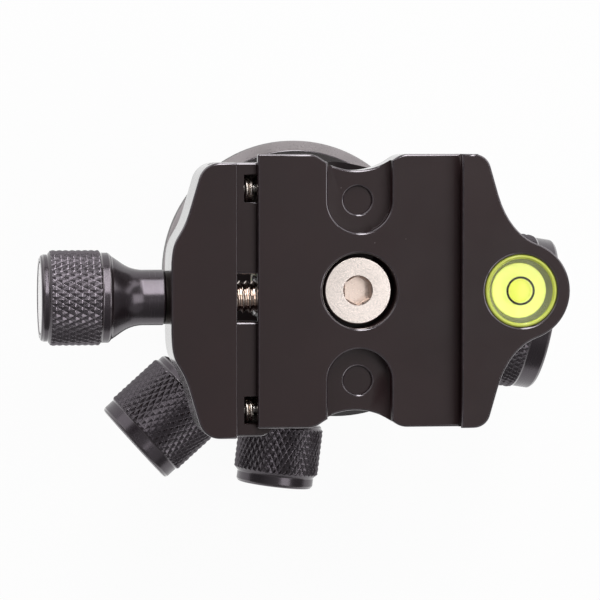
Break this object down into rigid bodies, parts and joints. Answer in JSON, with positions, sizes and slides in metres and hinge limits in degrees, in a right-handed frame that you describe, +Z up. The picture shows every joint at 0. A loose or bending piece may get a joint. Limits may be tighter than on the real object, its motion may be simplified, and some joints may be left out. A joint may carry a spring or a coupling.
{
  "type": "tripod ball head",
  "caption": "Compact tripod ball head with a dovetail plate clamp, bubble level, main lock knob, ball friction knob, pan lock knob and a drop notch.",
  "frame": {"origin": "centre of the base's underside on the panning axis, at the mouth of the tripod thread", "axes": "+Z up along the panning axis; +X towards the bubble level, -X along the clamp's knob; +Y along the dovetail, towards the drop notch"},
  "size_m": [0.1102, 0.0747, 0.1041],
  "materials": {
    "black_anodised": "black anodised, satin",
    "satin_ball": "dark hard anodised, satin",
    "clamp_black": "black anodised, fine blasted",
    "knob_black": "black anodised, knurled and turned",
    "steel": "turned",
    "black_steel": "black oxide",
    "spring_steel": "drawn wire",
    "nickel": "nickel plated",
    "brass": "turned",
    "bearing_plastic": "moulded, low friction",
    "level_acrylic": "clear acrylic",
    "level_fluid": "yellow-green liquid",
    "level_lime": "lime moulded"
  },
  "bodies": {
    "base": {"base_plate": "black_anodised", "base_bush": "steel", "pan_washer": "bearing_plastic", "thrust_washer": "bearing_plastic", "pan_retainer": "steel", "retainer_screws": "black_steel"},
    "housing": {"housing": "black_anodised", "floor_disc": "steel", "seat_spring": "spring_steel", "upper_liner": "bearing_plastic", "main_bush": "black_anodised", "friction_bush": "black_anodised", "pan_bush": "black_anodised"},
    "ball_seat": {"ball_seat": "bearing_plastic"},
    "ball": {"ball": "satin_ball"},
    "clamp": {"clamp_body": "clamp_black", "clamp_bolt": "nickel", "level_vial": "level_acrylic", "level_fluid": "level_fluid", "level_plug": "level_lime"},
    "jaw": {"clamp_jaw": "clamp_black", "guide_pins": "steel", "jaw_springs": "spring_steel", "jaw_collar": "steel"},
    "clamp_knob": {"clamp_screw": "steel", "clamp_knob": "knob_black", "clamp_knob_cap": "nickel"},
    "main_plunger": {"main_plunger": "steel"},
    "main_knob": {"main_stud": "steel", "main_knob": "knob_black", "main_knob_screw": "black_steel", "main_knob_cap": "knob_black"},
    "friction_plunger": {"friction_plunger": "steel"},
    "friction_knob": {"friction_stud": "steel", "friction_knob": "knob_black", "friction_knob_cap": "knob_black"},
    "pan_shoe": {"pan_shoe": "brass"},
    "pan_knob": {"pan_stud": "steel", "pan_knob": "knob_black", "pan_knob_cap": "knob_black"}
  },
  "joints": [
    {"name": "pan", "type": "hinge", "parent": "base", "child": "housing", "pos_m": [0, 0, 0.00645], "axis": [0, 0, 1], "continuous": true},
    {"name": "ball_swivel", "type": "hinge", "parent": "housing", "child": "ball_seat", "pos_m": [0, 0, 0.062], "axis": [0, 0, 1], "range_deg": [0, 360]},
    {"name": "ball_tilt", "type": "hinge", "parent": "ball_seat", "child": "ball", "pos_m": [0, 0, 0.062], "axis": [-1, 0, 0], "range_deg": [-40, 90]},
    {"name": "ball_spin", "type": "hinge", "parent": "ball", "child": "clamp", "pos_m": [0, 0, 0.062], "axis": [0, 0, 1], "continuous": true},
    {"name": "jaw_slide", "type": "slide", "parent": "clamp", "child": "jaw", "axis": [1, 0, 0], "range_m": [0, 0.0084], "deforming": ["jaw_springs"]},
    {"name": "clamp_knob_turn", "type": "hinge", "parent": "jaw", "child": "clamp_knob", "pos_m": [-0.045, -0.0012, 0.095], "axis": [1, 0, 0], "range_deg": [0, 2380]},
    {"name": "main_lock_slide", "type": "slide", "parent": "housing", "child": "main_plunger", "axis": [-0.9871, 0.1599, 0], "range_m": [0, 0.0015]},
    {"name": "main_knob_turn", "type": "hinge", "parent": "main_plunger", "child": "main_knob", "pos_m": [0.03948, -0.00639, 0.041], "axis": [-0.9871, 0.1599, 0], "range_deg": [0, 540]},
    {"name": "friction_slide", "type": "slide", "parent": "housing", "child": "friction_plunger", "axis": [0.7431, 0.6691, 0], "range_m": [0, 0.0012]},
    {"name": "friction_knob_turn", "type": "hinge", "parent": "friction_plunger", "child": "friction_knob", "pos_m": [-0.02973, -0.02677, 0.0375], "axis": [0.7431, 0.6691, 0], "range_deg": [0, 540]},
    {"name": "pan_shoe_slide", "type": "slide", "parent": "housing", "child": "pan_shoe", "axis": [0.1219, 0.9925, 0], "range_m": [0, 0.0008]},
    {"name": "pan_knob_turn", "type": "hinge", "parent": "pan_shoe", "child": "pan_knob", "pos_m": [-0.00463, -0.03772, 0.013], "axis": [0.1219, 0.9925, 0], "range_deg": [0, 360]}
  ],
  "couplings": [
    {"joint": "clamp_knob_turn", "follows": "jaw_slide", "rad_per_m": 4945.1},
    {"joint": "main_knob_turn", "follows": "main_lock_slide", "rad_per_m": 6283.2},
    {"joint": "friction_knob_turn", "follows": "friction_slide", "rad_per_m": 7854},
    {"joint": "pan_knob_turn", "follows": "pan_shoe_slide", "rad_per_m": 7854}
  ]
}
